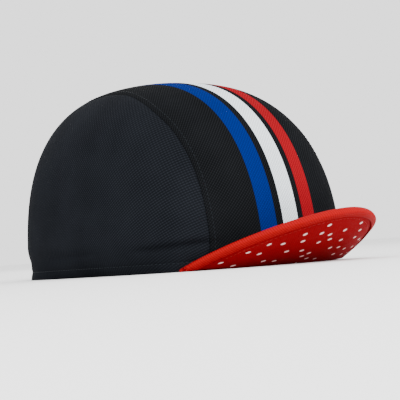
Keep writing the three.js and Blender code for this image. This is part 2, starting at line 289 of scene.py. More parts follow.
class Shade:
    """A socket of a material, whose arithmetic adds Math nodes."""

    def __init__(self, finish, socket):
        self.finish = finish
        self.socket = socket

    def math(self, operation, *others, first=True):
        sockets = [self, *others] if first else [*others, self]
        settings = {"operation": operation}
        return self.finish.node("ShaderNodeMath", settings, dict(enumerate(sockets)))

    def __add__(self, other):
        return self.math("ADD", other)

    def __radd__(self, other):
        return self.math("ADD", other)

    def __sub__(self, other):
        return self.math("SUBTRACT", other)

    def __rsub__(self, other):
        return self.math("SUBTRACT", other, first=False)

    def __mul__(self, other):
        return self.math("MULTIPLY", other)

    def sin(self):
        return self.math("SINE")

    def absolute(self):
        return self.math("ABSOLUTE")

    def over(self, edge, softness):
        """1 where this is over the edge, 0 where it is under, with a soft step between."""
        settings = {"interpolation_type": "SMOOTHSTEP"}
        sockets = {0: self, 1: edge - softness, 2: edge + softness}
        return self.finish.node("ShaderNodeMapRange", settings, sockets)


class Finish:
    """A material made from nodes, with a Principled surface."""

    def __init__(self, name):
        self.material = bpy.data.materials.new(name)
        self.material.use_nodes = True
        self.tree = self.material.node_tree
        self.surface = self.tree.nodes["Principled BSDF"]

    def node(self, kind, settings=None, sockets=None, output=0):
        node = self.tree.nodes.new(kind)
        for title, value in (settings or {}).items():
            setattr(node, title, value)
        for title, value in (sockets or {}).items():
            self.fill(node.inputs[title], value)
        return Shade(self, node.outputs[output])

    def fill(self, socket, value):
        if isinstance(value, Shade):
            self.tree.links.new(value.socket, socket)
        elif isinstance(value, tuple) and len(value) == 3 and socket.type == "RGBA":
            socket.default_value = (*value, 1)
        else:
            socket.default_value = value

    def set(self, **sockets):
        for title, value in sockets.items():
            self.fill(self.surface.inputs[title.replace("_", " ")], value)
        return self

    def mix(self, amount, low, high):
        """Between two colours by an amount from 0 to 1."""
        settings = {"data_type": "RGBA", "blend_type": "MIX", "clamp_factor": True}
        return self.node("ShaderNodeMix", settings, {0: amount, 6: low, 7: high}, 2)

    def parts(self, vector):
        xyz = self.node("ShaderNodeSeparateXYZ", {}, {0: vector})
        return [Shade(self, socket) for socket in xyz.socket.node.outputs]

    def cloth_map(self):
        return self.node("ShaderNodeUVMap", {"uv_map": "cloth"})

    def place(self):
        return self.node("ShaderNodeTexCoord", output=3)

    def value(self, title):
        return self.node("ShaderNodeAttribute", {"attribute_name": title}, output=2)

    def noise(self, vector, scale, detail=2.0):
        sockets = {"Vector": vector, "Scale": scale, "Detail": detail}
        return self.node("ShaderNodeTexNoise", {}, sockets)

    def bump(self, height, distance, strength=1.0):
        sockets = {"Height": height, "Distance": distance, "Strength": strength}
        return self.node("ShaderNodeBump", {}, sockets)


def mesh_knit(finish, pitch):
    """Loops of a fine mesh knit, as heights from 0 to 1: slanting ribs with holes between."""
    u, v, _ = finish.parts(finish.cloth_map())
    turn = 2 * math.pi / (pitch * math.sqrt(2))
    wander = finish.noise(finish.place(), 90.0) * 1.2
    slant = ((u - v) * turn + wander).sin()
    counter = ((u + v) * turn + wander).sin()
    return 0.52 + slant * 0.24 + counter * 0.12 + slant * counter * 0.12


def knit_finish(name, colour, light):
    """White mesh knit dyed on its outer face, with painted shade in its holes and a painted
    highlight where its loops stand up, mixed with random patches of tone.
    """
    finish = Finish(name)
    height = mesh_knit(finish, KNIT_PITCH)
    patch = finish.noise(finish.place(), 38.0, 3.0)
    # Painted shade and highlight that follow the knit's relief, mixed with random patches of tone
    relief_shade_and_tone = height * 0.95 + patch * 0.4 - 0.27
    fuzz = finish.noise(finish.place(), 2600.0)
    normal = finish.bump(height + fuzz * 0.3, 0.3 * MM, 0.8)
    finish.set(Roughness=0.86 - height * 0.14, Normal=normal)
    finish.set(Specular_IOR_Level=0.03, IOR=1.2)
    return finish, relief_shade_and_tone, finish.mix(relief_shade_and_tone, colour, light)


def dyed(finish, relief_shade_and_tone, dye):
    """The finished knit, with its dye on the outer face alone."""
    bare = finish.mix(relief_shade_and_tone, tuple(c * 0.8 for c in UNDYED_KNIT), UNDYED_KNIT)
    inner_face = finish.value("inside").over(0.75, 0.15)
    return finish.set(Base_Color=finish.mix(inner_face, dye, bare)).material


def striped_knit():
    # The black knit's painted highlight colour for its raised loops
    light = tuple(c * LOOP_HIGHLIGHT for c in BLACK_KNIT)
    finish, relief_shade_and_tone, base = knit_finish("striped_knit", BLACK_KNIT, light)
    x, _, _ = finish.parts(finish.place())
    for right, left, dye in STRIPES.values():
        middle, half = (right + left) / 2, (left - right) / 2
        inside = 1 - (x - middle).absolute().over(half, 0.12 * MM)
        # Shaded and lit copies of each dye, painted after the knit's relief
        shaded = finish.mix(relief_shade_and_tone, tuple(c * 0.6 for c in dye), tuple(min(c * 1.25, 1) for c in dye))
        base = finish.mix(inside, base, shaded)
    return dyed(finish, relief_shade_and_tone, base)


CREASES = [  # degrees round the head from the front and mm above the rim, twice; width; height
    ((-52, 17.0), (-26, 20.5), 3.2, 1.8),
    ((-56, 12.5), (-25, 15.5), 1.8, -2.2),
    ((-92, 30.0), (-50, 27.0), 7.0, 0.7),
    ((27, 20.5), (49, 17.5), 3.4, 1.3),
    ((26, 15.5), (51, 13.0), 1.8, -1.6),
    ((128, 15.0), (158, 17.0), 5.0, 0.9),
    ((-118, 18.0), (-76, 19.0), 4.5, 0.8),
    ((-116, 12.0), (-72, 13.5), 2.2, -1.1),
    ((66, 18.5), (110, 20.0), 5.0, 0.8),
    ((68, 12.5), (106, 13.5), 2.4, -0.8),
]
HEM_HEIGHT = 4.9 * MM
HEM_DIP = 0.4 * MM
HEM_DIP_REACH = 1.1 * MM


def soft_folds(points, normals, skin=None):
    """Pushes cloth out or in along the soft creases in the skin over it, and along its hem."""
    skin = points if skin is None else skin
    lift = np.zeros(skin.shape[:-1])
    for start, end, width, height in CREASES:
        share = np.linspace(0, 1, 33)
        angle = np.radians(start[0] + (end[0] - start[0]) * share)
        line = wall_point(angle, (start[1] + (end[1] - start[1]) * share) * MM)
        apart = np.linalg.norm(skin[..., None, :] - line, axis=-1)
        fade = np.exp(-(((share[apart.argmin(-1)] - 0.5) / 0.42) ** 4))
        lift += height * MM * fade * np.exp(-((apart.min(-1) / (width * MM)) ** 2))
    lift -= HEM_DIP * np.exp(-(((skin[..., 2] - HEM_HEIGHT) / HEM_DIP_REACH) ** 2))
    return points + normals * lift[..., None]


def beside_edges(points, edges):
    """How far each point of a grid lies from the grid's chosen edges, along the cloth."""
    across = arc_lengths(points, 1)
    choices = {"left": across, "right": across[:, -1:] - across}
    return np.min([choices[edge] for edge in edges], axis=0)


def over_peak_root(points):
    """Lifts the crown's edge off the rim over the root of the peak, which is sewn in under it."""
    angle = np.abs(np.arctan2(points[..., 0], -points[..., 1]))
    low = np.clip(1 - points[..., 2] / PEAK_ROOT_LIFT_HEIGHT, 0, 1)
    beside = np.clip((PEAK_HALF_ANGLE - angle) / math.radians(3) + 0.5, 0, 1)
    lifted = points.copy()
    lifted[..., 2] = np.maximum(points[..., 2], 0) + PEAK_ROOT_LIFT * low * beside
    return lifted


SEAM_DIP = 0.55 * MM
SEAM_REACH = 1.5 * MM


def crown_layers(rays, edges):
    """Outer and inner faces of a crown panel, folded, and dipping at its sewn edges."""
    outer = crown_point(rays)
    normals = grid_normals(outer)
    dip = SEAM_DIP * np.exp(-((beside_edges(outer, edges) / SEAM_REACH) ** 2))
    inner = soft_folds(crown_point(rays, CLOTH), normals, outer)
    outer = soft_folds(outer, normals) - normals * dip[..., None]
    return over_peak_root(outer), over_peak_root(inner)


ACROSS_CENTRE = 92
ALONG_CENTRE = 190

climb = climbs(ALONG_CENTRE)[:, None]
edge_lean = lean_at(climb, seam_beside(climb) - SEAM_GAP / 2)
spread = np.linspace(-1, 1, ACROSS_CENTRE)[None]
spread = spread * (1.15 - 0.15 * spread**2)
outer, inner = crown_layers(ray_over(climb, edge_lean * spread), ["left", "right"])
outer[-1, :, 2] = 0
inner[-1, :, 2] = 0
across = arc_lengths(outer, 1)
cloth_map = np.stack([across - across[:, -1:] / 2, 0 * across], -1)
cloth_map[..., 1] = arc_lengths(outer, 0)[:, ACROSS_CENTRE // 2][:, None]
centre_panel = cloth_piece("centre_panel_knit", outer, inner, cloth_map)
centre_panel.data.materials.append(striped_knit())
place(centre_panel, "center_panel")

# Side panels. Each side of the head is one lens of the same knit, plain black with a cold cast,
# sewn to the centre panel along its curved top and drawn in by the hem along its foot.

SIDE_KNIT = (0.0023, 0.0026, 0.0033)
# How many times paler the side knit's raised loops are painted: a painted highlight on the loops
SIDE_LOOP_HIGHLIGHT = 6.5
ALONG_SIDE = 170
UP_SIDE = 76


def side_panel(side):
    """The +X panel (1) or the -X panel (-1), between the rim and the seam."""
    share = np.linspace(0, 1, ALONG_SIDE)
    climb = climbs(ALONG_SIDE)
    top = ray_over(climb, lean_at(climb, seam_beside(climb) + SEAM_GAP / 2))
    first, last = (np.arctan2(ray[0], -ray[1]) for ray in (top[0], top[-1]))
    foot = ray_round(first + (last - first) * share, 0.0)
    turn = np.arccos(np.clip(np.sum(foot * top, -1), -1, 1))[:, None, None]
    up = (np.linspace(0, 1, UP_SIDE) ** 1.35)[None, :, None]
    safe = np.maximum(turn, 1e-6)
    rays = np.sin((1 - up) * safe) * foot[:, None] + np.sin(up * safe) * top[:, None]
    rays = unit(rays) * np.array([side, 1, 1])
    outer, inner = crown_layers(rays, ["right"])
    middle = unit(np.array([side * 1.0, 0.05, 0.45]))
    turned = np.arccos(np.clip(rays @ middle, -1, 1)) * CROWN_WIDTH * 0.6
    level = unit(np.cross([0, 0, 1], middle))
    upward = np.cross(middle, level)
    bearing = np.arctan2(rays @ upward, rays @ level)
    cloth_map = np.stack([turned * np.cos(bearing), turned * np.sin(bearing)], -1)
    name = "left_side_knit" if side > 0 else "right_side_knit"
    return cloth_piece(name, outer, inner, cloth_map)


# The side knit's painted highlight colour for its raised loops
side_highlight = tuple(c * SIDE_LOOP_HIGHLIGHT for c in SIDE_KNIT)
finish, relief_shade_and_tone, base = knit_finish("side_knit", SIDE_KNIT, side_highlight)
side_knit = dyed(finish, relief_shade_and_tone, base)
for side, node in ((1, "left_side_panel"), (-1, "right_side_panel")):
    panel = side_panel(side)
    panel.data.materials.append(side_knit)
    place(panel, node)

# Stitching on the crown. A topstitch of dark thread runs beside each seam on the centre panel,
# and another holds the hem 5 mm above the rim all the way round the cap.

THREAD = 0.42 * MM
STITCH = 2.1 * MM
STITCH_PITCH = 2.7 * MM


def thread_finish(name, colour):
    finish = Finish(name)
    twist = finish.noise(finish.place(), 1900.0)
    base = finish.mix(twist, tuple(c * 0.6 for c in colour), tuple(min(c * 1.3, 1) for c in colour))
    finish.set(Base_Color=base, Roughness=0.55, Normal=finish.bump(twist, 0.1 * MM))
    return finish.set(Specular_IOR_Level=0.2, IOR=1.3).material


def stitch_tree(name, material):
    """Geometry nodes that lay short stitches of thread along a path that carries its normals."""
    tree = bpy.data.node_groups.new(name, "GeometryNodeTree")
    tree.interface.new_socket("Path", in_out="INPUT", socket_type="NodeSocketGeometry")
    inputs = {"Pitch": STITCH_PITCH, "Length": STITCH, "Thread": THREAD, "Lean": 0.0}
    for title, value in inputs.items():
        socket = tree.interface.new_socket(title, in_out="INPUT", socket_type="NodeSocketFloat")
        socket.default_value = value
    tree.interface.new_socket("Stitches", in_out="OUTPUT", socket_type="NodeSocketGeometry")
    nodes, links = tree.nodes, tree.links
    given = nodes.new("NodeGroupInput")
    made = nodes.new("NodeGroupOutput")

    def node(kind, settings=None, **sockets):
        new = nodes.new(kind)
        for title, value in (settings or {}).items():
            setattr(new, title, value)
        for title, value in sockets.items():
            target = new.inputs[title.replace("_", " ")]
            if isinstance(value, bpy.types.NodeSocket):
                links.new(value, target)
            else:
                target.default_value = value
        return new

    path = node("GeometryNodeMeshToCurve", Mesh=given.outputs["Path"]).outputs["Curve"]
    spaced = node("GeometryNodeResampleCurve", {"mode": "LENGTH"}, Curve=path)
    links.new(given.outputs["Pitch"], spaced.inputs["Length"])
    out = node("GeometryNodeInputNamedAttribute", {"data_type": "FLOAT_VECTOR"}, Name="out")
    tangent = node("GeometryNodeInputTangent").outputs["Tangent"]
    along = node("FunctionNodeAlignRotationToVector", {"axis": "X"}, Vector=tangent)
    upright = node("FunctionNodeAlignRotationToVector", {"axis": "Z", "pivot_axis": "X"})
    links.new(along.outputs["Rotation"], upright.inputs["Rotation"])
    links.new(out.outputs["Attribute"], upright.inputs["Vector"])
    about = node("FunctionNodeAxisAngleToRotation", Axis=(0, 0, 1), Angle=given.outputs["Lean"])
    leaning = node("FunctionNodeRotateRotation", {"rotation_space": "LOCAL"})
    links.new(upright.outputs["Rotation"], leaning.inputs["Rotation"])
    links.new(about.outputs["Rotation"], leaning.inputs["Rotate By"])
    ball = node("GeometryNodeMeshUVSphere", Segments=8, Rings=5, Radius=0.5).outputs["Mesh"]
    size = node("ShaderNodeCombineXYZ", X=given.outputs["Length"], Y=given.outputs["Thread"])
    links.new(given.outputs["Thread"], size.inputs["Z"])
    laid = node("GeometryNodeInstanceOnPoints", Points=spaced.outputs["Curve"], Instance=ball)
    links.new(leaning.outputs["Rotation"], laid.inputs["Rotation"])
    links.new(size.outputs["Vector"], laid.inputs["Scale"])
    real = node("GeometryNodeRealizeInstances", Geometry=laid.outputs["Instances"])
    smooth = node("GeometryNodeSetShadeSmooth", Geometry=real.outputs["Geometry"])
    dressed = node("GeometryNodeSetMaterial", Geometry=smooth.outputs["Geometry"])
    dressed.inputs["Material"].default_value = material
    links.new(dressed.outputs["Geometry"], made.inputs["Stitches"])
    return tree


def stitched(name, paths, tree, slot, **sizes):
    """Stitches along paths of points and outward directions, as one plain mesh."""
    points = np.concatenate([path for path, _ in paths]) + RIM_MIDDLE
    outward = np.concatenate([out for _, out in paths])
    edges = []
    start = 0
    for path, _ in paths:
        edges += [(start + i, start + i + 1) for i in range(len(path) - 1)]
        start += len(path)
    mesh = bpy.data.meshes.new(name + "_path")
    mesh.from_pydata(points.tolist(), edges, [])
    attribute = mesh.attributes.new("out", "FLOAT_VECTOR", "POINT")
    attribute.data.foreach_set("vector", outward.astype(np.float32).ravel())
    guide = bpy.data.objects.new(name + "_path", mesh)
    bpy.context.scene.collection.objects.link(guide)
    modifier = guide.modifiers.new("stitches", "NODES")
    modifier.node_group = tree
    for item in tree.interface.items_tree:
        if item.in_out == "INPUT" and item.name in sizes:
            modifier[item.identifier] = sizes[item.name]
    bpy.context.view_layer.update()
    evaluated = guide.evaluated_get(bpy.context.evaluated_depsgraph_get())
    made = bpy.data.meshes.new_from_object(evaluated)
    made.name = name
    bpy.data.objects.remove(guide)
    piece = bpy.data.objects.new(name, made)
    bpy.context.scene.collection.objects.link(piece)
    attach(piece, "root")


def outward_at(path):
    """The crown's outward normal along a path, from how the form swells beside it."""
    rays = unit(path)
    side = unit(np.cross(np.gradient(path, axis=0), rays))
    small = 0.004
    ahead = crown_point(unit(rays + side * small)) - crown_point(unit(rays - side * small))
    normals = unit(np.cross(np.gradient(path, axis=0), ahead))
    return normals * np.sign(np.sum(normals * path, -1, keepdims=True))


BESIDE_SEAM = 2.4 * MM
fine_climb = climbs(500)[8:-8]
seam_paths = []
for side in (1, -1):
    lean = side * lean_at(fine_climb, seam_beside(fine_climb) - BESIDE_SEAM)
    path = crown_point(ray_over(fine_climb, lean))
    out = outward_at(path)
    seam_paths.append((soft_folds(path, out) + out * 0.02 * MM, out))
dark_thread = thread_finish("dark_thread", (0.012, 0.015, 0.019))
dark_tree = stitch_tree("Dark stitches", dark_thread)
stitched("seam_topstitch", seam_paths, dark_tree, "crown_knit", Thread=0.28 * MM)

round_head = np.linspace(-math.pi, math.pi, 900)
hem = wall_point(round_head, HEM_HEIGHT + 0 * round_head)
hem_out = outward_at(hem)
hem = soft_folds(hem, hem_out) + hem_out * 0.03 * MM
stitched("hem_topstitch", [(hem, hem_out)], dark_tree, "side_knit")

# Seam allowances. Inside, the joined edges of the panels are overlocked with white thread and
# lie flat against the centre panel; the thread crosses them on the slant.

ALLOWANCE_WIDTH = 6.2 * MM
ALLOWANCE_THICKNESS = 0.8 * MM
ALLOWANCE_END = 18.5 * MM
OVERLOCK_PITCH = 1.5 * MM


def terry_finish(name, colour, grain, groove_shade, ribbed=0.6):
    """Soft undyed knit with fine ribs along it, painted darker between the ribs as shade, with
    random fuzz of tone.
    """
    finish = Finish(name)
    _, v, _ = finish.parts(finish.cloth_map())
    ribs = (v * (2 * math.pi / grain)).sin() * 0.5 + 0.5
    fuzz = finish.noise(finish.place(), 1500.0)
    height = ribs * ribbed + fuzz * (1.2 - ribbed)
    # The colour is painted darker between the ribs as shade, and varies with random fuzz
    dark = tuple(c * (1 - groove_shade) for c in colour)
    finish.set(Base_Color=finish.mix(height, dark, colour), Roughness=0.9)
    finish.set(Normal=finish.bump(height, 0.2 * MM), Sheen_Weight=0.2)
    return finish.material


overlock = terry_finish("overlocked_edge", (0.10, 0.11, 0.12), 1.1 * MM, 0.5)
white_thread = thread_finish("white_thread", (0.82, 0.84, 0.88))
white_tree = stitch_tree("White stitches", white_thread)
allowance_paths = []
for side, node in ((1, "left_seam_allowance"), (-1, "right_seam_allowance")):
    climb = climbs(320)
    depth = CLOTH + LAYER_GAP
    heights = crown_point(ray_over(climb, lean_at(climb, seam_beside(climb))), depth)[:, 2]
    climb = climb[heights > ALLOWANCE_END][:, None]
    inwards = SEAM_GAP + ALLOWANCE_WIDTH * np.linspace(0, 1, 7)[None]
    rays = ray_over(climb, side * lean_at(climb, seam_beside(climb) - inwards))
    skin = crown_point(rays)
    outer, inner = (
        soft_folds(crown_point(rays, d), grid_normals(skin), skin)
        for d in (depth, depth + ALLOWANCE_THICKNESS)
    )
    strip_map = np.stack([arc_lengths(inner, 1), arc_lengths(inner, 0)], -1)
    strip = cloth_piece(node + "_strip", outer, inner, strip_map)
    strip.data.materials.append(overlock)
    place(strip, node)
    middle = inner[:, 3]
    allowance_paths.append((middle, -unit(middle)))
stitched(
    "overlock_threads", allowance_paths, white_tree, "overlock_thread",
    Pitch=OVERLOCK_PITCH, Length=ALLOWANCE_WIDTH * 1.05, Thread=0.75 * MM, Lean=1.05,
)

# Sweatband and elastic. A white terry band is folded over and sewn inside the rim round the
# front and sides; a stretch of greyer ribbed elastic, butted to its ends, draws in the nape.

BAND_HEIGHT = 17 * MM
BAND_THICKNESS = 1 * MM
ELASTIC_WIDTH = 64 * MM
ELASTIC_HEIGHT = 16.2 * MM
ELASTIC_THICKNESS = 1.3 * MM
BAND_DEPTH = CLOTH + LAYER_GAP
BAND_FOOT = 0.8 * MM


def angle_at_back(beside):
    def beside_at(turn):
        return wall_point(math.pi - turn, 0 * turn, BAND_DEPTH)[..., 0]

    return math.pi - float(halving(beside_at, np.array(beside), 0, math.pi / 2))


def inner_band(name, first, last, stations, height, thickness, ribs):
    """A band inside the rim between two angles, its face swelling a little between its ribs."""
    angle = np.linspace(first, last, stations)[:, None]
    up = np.linspace(0, 1, 29)[None]
    rise = BAND_FOOT + (height - BAND_FOOT) * up
    skin = wall_point(angle, rise)
    out = np.concatenate([unit(skin[..., :2]), 0 * skin[..., 2:]], -1)
    outer = soft_folds(wall_point(angle, rise, BAND_DEPTH), out, skin)
    inner = soft_folds(wall_point(angle, rise, BAND_DEPTH + thickness), out, skin)
    swell = 0.25 * MM * np.abs(np.sin(math.pi * ribs * up)) * np.sin(math.pi * up) ** 0.2
    inner = inner - out * swell[..., None]
    band_map = np.stack([arc_lengths(inner, 0), arc_lengths(inner, 1)], -1)
    return cloth_piece(name, outer, inner, band_map)


band_end = angle_at_back((ELASTIC_WIDTH + SEAM_GAP) / 2)
elastic_end = angle_at_back((ELASTIC_WIDTH - SEAM_GAP) / 2)
sweatband = inner_band("sweatband_terry", -band_end, band_end, 420, BAND_HEIGHT, BAND_THICKNESS, 2)
band_terry = terry_finish("sweatband_terry", (0.90, 0.92, 0.98), 0.9 * MM, 0.12, 0.1)
sweatband.data.materials.append(band_terry)
place(sweatband, "sweatband")
elastic = inner_band(
    "elastic_tape", elastic_end, 2 * math.pi - elastic_end, 90, ELASTIC_HEIGHT, ELASTIC_THICKNESS, 6
)
elastic.data.materials.append(terry_finish("elastic_tape", (0.84, 0.88, 0.95), 1.6 * MM, 0.2, 0.3))
place(elastic, "back_elastic")
band_paths = []
for height in (1.6 * MM, 8.9 * MM, 10.3 * MM):
    angle = np.linspace(-band_end, band_end, 700)
    path = wall_point(angle, height + 0 * angle, BAND_DEPTH + BAND_THICKNESS + 0.15 * MM)
    flat = np.concatenate([unit(path[:, :2]), 0 * path[:, 2:]], -1)
    path = soft_folds(path, flat, wall_point(angle, height + 0 * angle))
    band_paths.append((path, -flat))
stitched("sweatband_stitches", band_paths, white_tree, "sweatband_knit", Thread=0.34 * MM)

# Peak. Two cloths, a red one with small pale dots under a plain black one, spring from the rim
# at the forehead. The peak is turned up, so the dotted underside faces forwards.

PEAK_LENGTH = 53.6 * MM
PEAK_FAN = -0.25
PEAK_RISE = 29.6
PEAK_CURL = 25.0
PEAK_OUTLINE = (1.9, 0.72)
PEAK_CLOTH = 1 * MM
PEAK_GAP = 0.3 * MM
BINDING_WIDTH = 4.3 * MM
BINDING_THICKNESS = 0.6 * MM
BINDING_END = 0.9 * MM
PEAK_FOOT = BINDING_THICKNESS + 1.5 * PEAK_GAP
PEAK_THICKNESS = 2 * PEAK_CLOTH + PEAK_GAP
PEAK_RED = (0.175, 0.0018, 0.0045)
DOT_COLOUR = (0.80, 0.55, 0.52)
DOT_LENGTH = 2.7 * MM
DOT_WIDTH = 2.1 * MM
DOT_SPACING = 11.3 * MM
STITCH_LINE = 6.8 * MM
SEWN_SHARE = 0.97  # of the peak's width, how much of its root is sewn in under the rim
RIB_STEPS = 48


def peak_ribs(across):
    """Points from the root to the free edge of the peak, for shares across it from -1 to 1."""
    across = np.atleast_1d(np.asarray(across, float))
    angle = PEAK_HALF_ANGLE * across
    outline = np.maximum(1 - np.abs(across) ** PEAK_OUTLINE[0], 1e-9) ** PEAK_OUTLINE[1]
    low = wall_point(angle, 0 * angle)
    high = wall_point(angle, 0 * angle + 2 * PEAK_FOOT + PEAK_THICKNESS)
    further_in = np.hypot(low[:, 0], low[:, 1]) < np.hypot(high[:, 0], high[:, 1]) - 1e-9
    root = np.where(further_in[:, None], high, low)
    outwards = np.stack([np.sin(angle), -np.cos(angle), 0 * angle], -1)
    root_rise = np.radians(PEAK_RISE - PEAK_CURL * outline / 2)
    lean = (PEAK_THICKNESS + PEAK_FOOT) * np.sin(root_rise)
    root = root + outwards * (lean + 3 * PEAK_GAP)[:, None]
    root[:, 2] = PEAK_FOOT
    forwards = np.stack([np.sin(angle * PEAK_FAN), -np.cos(angle * PEAK_FAN), 0 * angle], -1)
    share = (np.arange(RIB_STEPS) + 0.5) / RIB_STEPS
    rise = np.radians(PEAK_RISE + PEAK_CURL * outline[:, None] * (share[None] - 0.5))
    stride = np.cos(rise)[..., None] * forwards[:, None]
    stride[..., 2] += np.sin(rise)
    stride *= (PEAK_LENGTH * outline / RIB_STEPS)[:, None, None]
    return np.concatenate([root[:, None], root[:, None] + np.cumsum(stride, 1)], 1)


RIB_TABLE = peak_ribs(np.linspace(-1, 1, 1601))


def peak_point(across, outward):
    """Points of the peak's underside at shares across and outward, read between its ribs."""
    across, outward = np.broadcast_arrays(across, outward)
    rib, step = (across + 1) * (len(RIB_TABLE) - 1) / 2, outward * RIB_STEPS
    i = np.clip(np.floor(rib).astype(int), 0, len(RIB_TABLE) - 2)
    j = np.clip(np.floor(step).astype(int), 0, RIB_STEPS - 1)
    past_rib, past_step = (rib - i)[..., None], (step - j)[..., None]
    low = RIB_TABLE[i, j] + (RIB_TABLE[i + 1, j] - RIB_TABLE[i, j]) * past_rib
    high = RIB_TABLE[i, j + 1] + (RIB_TABLE[i + 1, j + 1] - RIB_TABLE[i, j + 1]) * past_rib
    return low + (high - low) * past_step


def peak_slopes(across, outward):
    small = 0.004
    far, near = np.minimum(outward + small, 1), np.maximum(outward - small, 0)
    per_across = peak_point(across + small, outward) - peak_point(across - small, outward)
    per_outward = peak_point(across, far) - peak_point(across, near)
    per_across = per_across / (2 * small)
    per_outward = per_outward / np.asarray(far - near)[..., None]
    return per_across, per_outward, unit(np.cross(per_outward, per_across))


def place_inside(across, distance):
    """Places a distance in from the free edge, reached by short steps square to the edge."""
    across, distance = np.broadcast_arrays(np.asarray(across, float), distance)
    across, outward = across.copy(), np.ones(across.shape)
    per_across, _, normal = peak_slopes(across, outward)
    inwards = unit(np.cross(normal, per_across))
    steps = 12
    for _ in range(steps):
        per_across, per_outward, _ = peak_slopes(across, outward)
        aa, bb = np.sum(per_across**2, -1), np.sum(per_outward**2, -1)
        ab = np.sum(per_across * per_outward, -1)
        ai, bi = np.sum(per_across * inwards, -1), np.sum(per_outward * inwards, -1)
        stride = distance / steps / (aa * bb - ab * ab)
        across = across + (ai * bb - bi * ab) * stride
        outward = outward + (bi * aa - ai * ab) * stride
    return across, outward


peak_roots = peak_point(np.linspace(-1, 1, 241), 0.0)


def peak_width_at(across):
    edge = peak_point(across, 1.0)
    away = np.linalg.norm(edge[..., None, :] - peak_roots, axis=-1)
    return away.min(-1)


PEAK_END = float(halving(lambda a: -peak_width_at(a), np.array(-BINDING_END - PEAK_GAP), 0.5, 0.99))


def across_peak(count):
    share = np.linspace(-0.5, 0.5, count)
    return PEAK_END * np.sin(share * math.pi * 0.9) / math.sin(math.pi * 0.45)


def printed_dots(cloth_map, to_edge):
    """How far inside a printed dot each point is: over 0 in a dot, under 0 on the red cloth.

    The dots lie in staggered rows, shaken by a fixed seed, and keep clear of the stitches.
    """
    shaken = np.random.default_rng(11)
    low, high = cloth_map.min((0, 1)), cloth_map.max((0, 1))
    inside = np.full(to_edge.shape, -1.0)
    for row, v in enumerate(np.arange(low[1], high[1], DOT_SPACING * 0.87)):
        for u in np.arange(low[0], high[0], DOT_SPACING) + row % 2 * DOT_SPACING / 2:
            middle = np.array([u, v]) + shaken.uniform(-0.3, 0.3, 2) * DOT_SPACING
            turn = shaken.uniform(0.2, 1.1)
            apart = cloth_map - middle
            nearest = np.unravel_index(np.argmin(np.sum(apart**2, -1)), to_edge.shape)
            if to_edge[nearest] < STITCH_LINE + DOT_WIDTH / 3:
                continue
            along = apart @ np.array([math.cos(turn), math.sin(turn)]) / (DOT_LENGTH / 2)
            across = apart @ np.array([-math.sin(turn), math.cos(turn)]) / (DOT_WIDTH / 2)
            inside = np.maximum(inside, 1 - np.hypot(along, across))
    return inside


def peak_cloth(name, lift):
    """One cloth of the peak, that far above the underside's face, set back in the binding."""
    root = across_peak(320)[:, None]
    end_across, end_outward = place_inside(root, BINDING_THICKNESS + PEAK_GAP)
    share = np.linspace(0, 1, 96)[None]
    across = root + (end_across - root) * share
    outward = end_outward * share
    surface = peak_point(across, outward)
    _, _, normal = peak_slopes(across, outward)
    faces = [surface + normal * height for height in (lift, lift + PEAK_CLOTH)]
    if lift == 0:
        sewn = wall_point(SEWN_SHARE * PEAK_HALF_ANGLE * root, 0, BAND_DEPTH * np.array([[1, 0]]))
        sewn[:, 1, :2] += unit(sewn[:, 1, :2]) * 0.3 * MM
        for number, height in enumerate((0.1 * MM, 0.8 * MM)):
            foot = sewn + np.array([0, 0, height])
            faces[number] = np.concatenate([foot, faces[number]], 1)
        surface = np.concatenate([sewn, surface], 1)
    across_map = arc_lengths(surface, 0)
    middle = across_map[len(across_map) // 2]
    cloth_map = np.stack([across_map - middle, arc_lengths(surface, 1)], -1)
    free_edge = peak_point(np.linspace(-1, 1, 500), 1.0)
    to_edge = np.linalg.norm(surface[:, :, None] - free_edge, axis=-1).min(-1)
    return cloth_piece(name, *faces, cloth_map, {"print": printed_dots(cloth_map, to_edge)})


def dotted_cloth():
    finish = Finish("dotted_cloth")
    weave = mesh_knit(finish, 0.9 * MM)
    dot = finish.value("print").over(0.0, 0.12)
    patch = finish.noise(finish.place(), 30.0)
    # The red is painted darker in the weave's hollows as shade, and varies with random patches of
    # tone
    relief_shade_and_tone = weave * 0.5 + patch * 0.6 - 0.05
    red = finish.mix(relief_shade_and_tone, tuple(c * 0.8 for c in PEAK_RED), tuple(c * 1.3 for c in PEAK_RED))
    finish.set(Base_Color=finish.mix(dot, red, DOT_COLOUR), Roughness=0.62)
    finish.set(Normal=finish.bump(weave + dot * 0.4, 0.1 * MM), Specular_IOR_Level=0.04)
    return finish.set(IOR=1.2).material


under_cloth = peak_cloth("peak_dotted_cloth", 0.0)
under_cloth.data.materials.append(dotted_cloth())
place(under_cloth, "peak_under_cloth")
top_cloth = peak_cloth("peak_plain_cloth", PEAK_CLOTH + PEAK_GAP)
# The peak's black knit, with the same painted highlight on its raised loops
top_highlight = tuple(c * LOOP_HIGHLIGHT for c in BLACK_KNIT)
finish, relief_shade_and_tone, base = knit_finish("peak_black_knit", BLACK_KNIT, top_highlight)
top_cloth.data.materials.append(finish.set(Base_Color=base).material)
place(top_cloth, "peak_top_cloth")

# Binding. A bright red tape with fine ribs is folded round the peak's edge and sewn down, and a
# line of red stitches follows it through both cloths.

RIB_PITCH = 1.45 * MM
RIB_HEIGHT = 0.13 * MM
RIB_SLANT = 0.4
NOSE = 0.55
BINDING_TURN = 5 * MM
BINDING_TAPER = 0.25
BINDING_FOOT_ANGLE = 1.01 * PEAK_HALF_ANGLE
BINDING_FOOT = 0.9 * MM, 0.8 * MM  # out from the rim, and up
BINDING_RED = (0.29, 0.0018, 0.0042)


